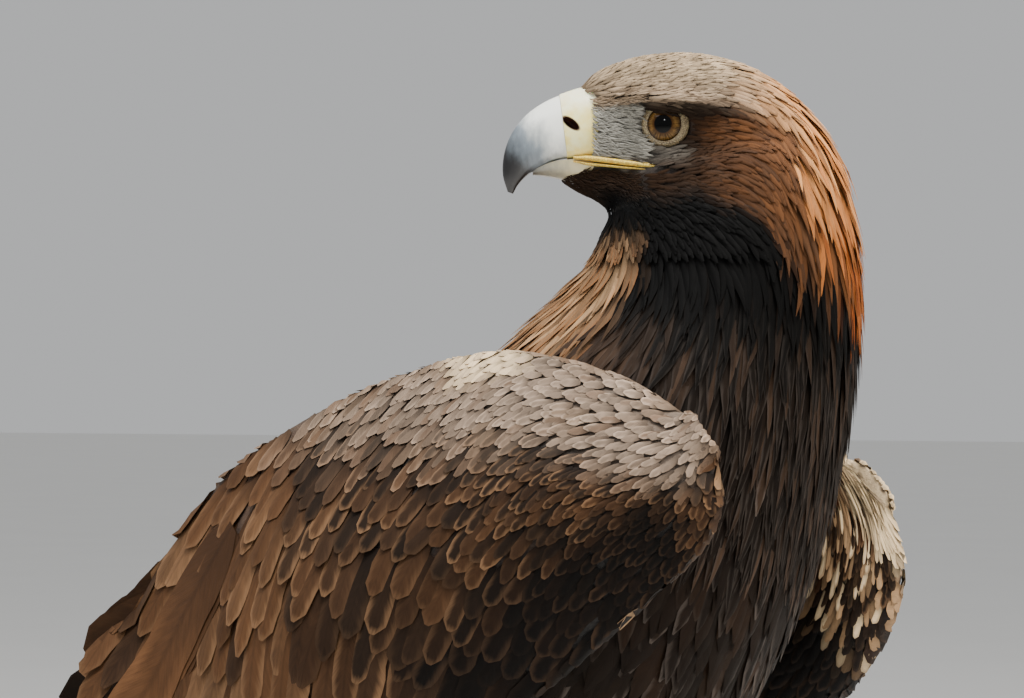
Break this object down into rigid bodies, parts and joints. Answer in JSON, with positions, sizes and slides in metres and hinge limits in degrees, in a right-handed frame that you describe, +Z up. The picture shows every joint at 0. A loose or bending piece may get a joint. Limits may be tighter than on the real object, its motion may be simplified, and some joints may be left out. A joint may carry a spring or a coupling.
{
  "type": "animal.bird_of_prey",
  "caption": "Golden eagle as a life-size museum model, standing with its wings folded and its head turned back over the right shoulder",
  "frame": {"origin": "On the floor below the middle of the bird's bounding box", "axes": "X towards the bird's left wing, -Y towards its breast, Z up"},
  "size_m": [0.2676, 0.6416, 0.6114],
  "materials": {
    "crown_feathers": "fine grey-brown and golden feathers, matte",
    "hackle_feathers": "golden rufous lance-shaped feathers, matte",
    "breast_feathers": "blackish brown feathers, soft sheen",
    "wing_feathers": "brown feathers with pale edges, soft sheen",
    "tail_feathers": "dark brown feathers with grey bands, soft sheen",
    "leg_feathers": "brown feathers, matte",
    "yellow_skin": "bare yellow skin of cere, lips and toes, semi-matte",
    "bill_horn": "smooth horn, blue-grey to black at the tip",
    "claw_horn": "smooth black horn",
    "eye": "glossy brown eye with a black pupil"
  },
  "bodies": {
    "root": {"head": "crown_feathers", "eye_right": "eye", "eye_left": "eye", "cere": "yellow_skin", "bill_upper": "bill_horn", "bill_lower": "bill_horn", "neck": "hackle_feathers", "torso": "breast_feathers", "tail": "tail_feathers", "thigh_right": "leg_feathers", "shank_right": "leg_feathers", "foot_right": "yellow_skin", "toe_middle_right": "yellow_skin", "claw_middle_right": "claw_horn", "toe_inner_right": "yellow_skin", "claw_inner_right": "claw_horn", "toe_outer_right": "yellow_skin", "claw_outer_right": "claw_horn", "toe_hind_right": "yellow_skin", "claw_hind_right": "claw_horn", "thigh_left": "leg_feathers", "shank_left": "leg_feathers", "foot_left": "yellow_skin", "toe_middle_left": "yellow_skin", "claw_middle_left": "claw_horn", "toe_inner_left": "yellow_skin", "claw_inner_left": "claw_horn", "toe_outer_left": "yellow_skin", "claw_outer_left": "claw_horn", "toe_hind_left": "yellow_skin", "claw_hind_left": "claw_horn", "wing_right": "wing_feathers", "wing_left": "wing_feathers"}
  },
  "joints": []
}
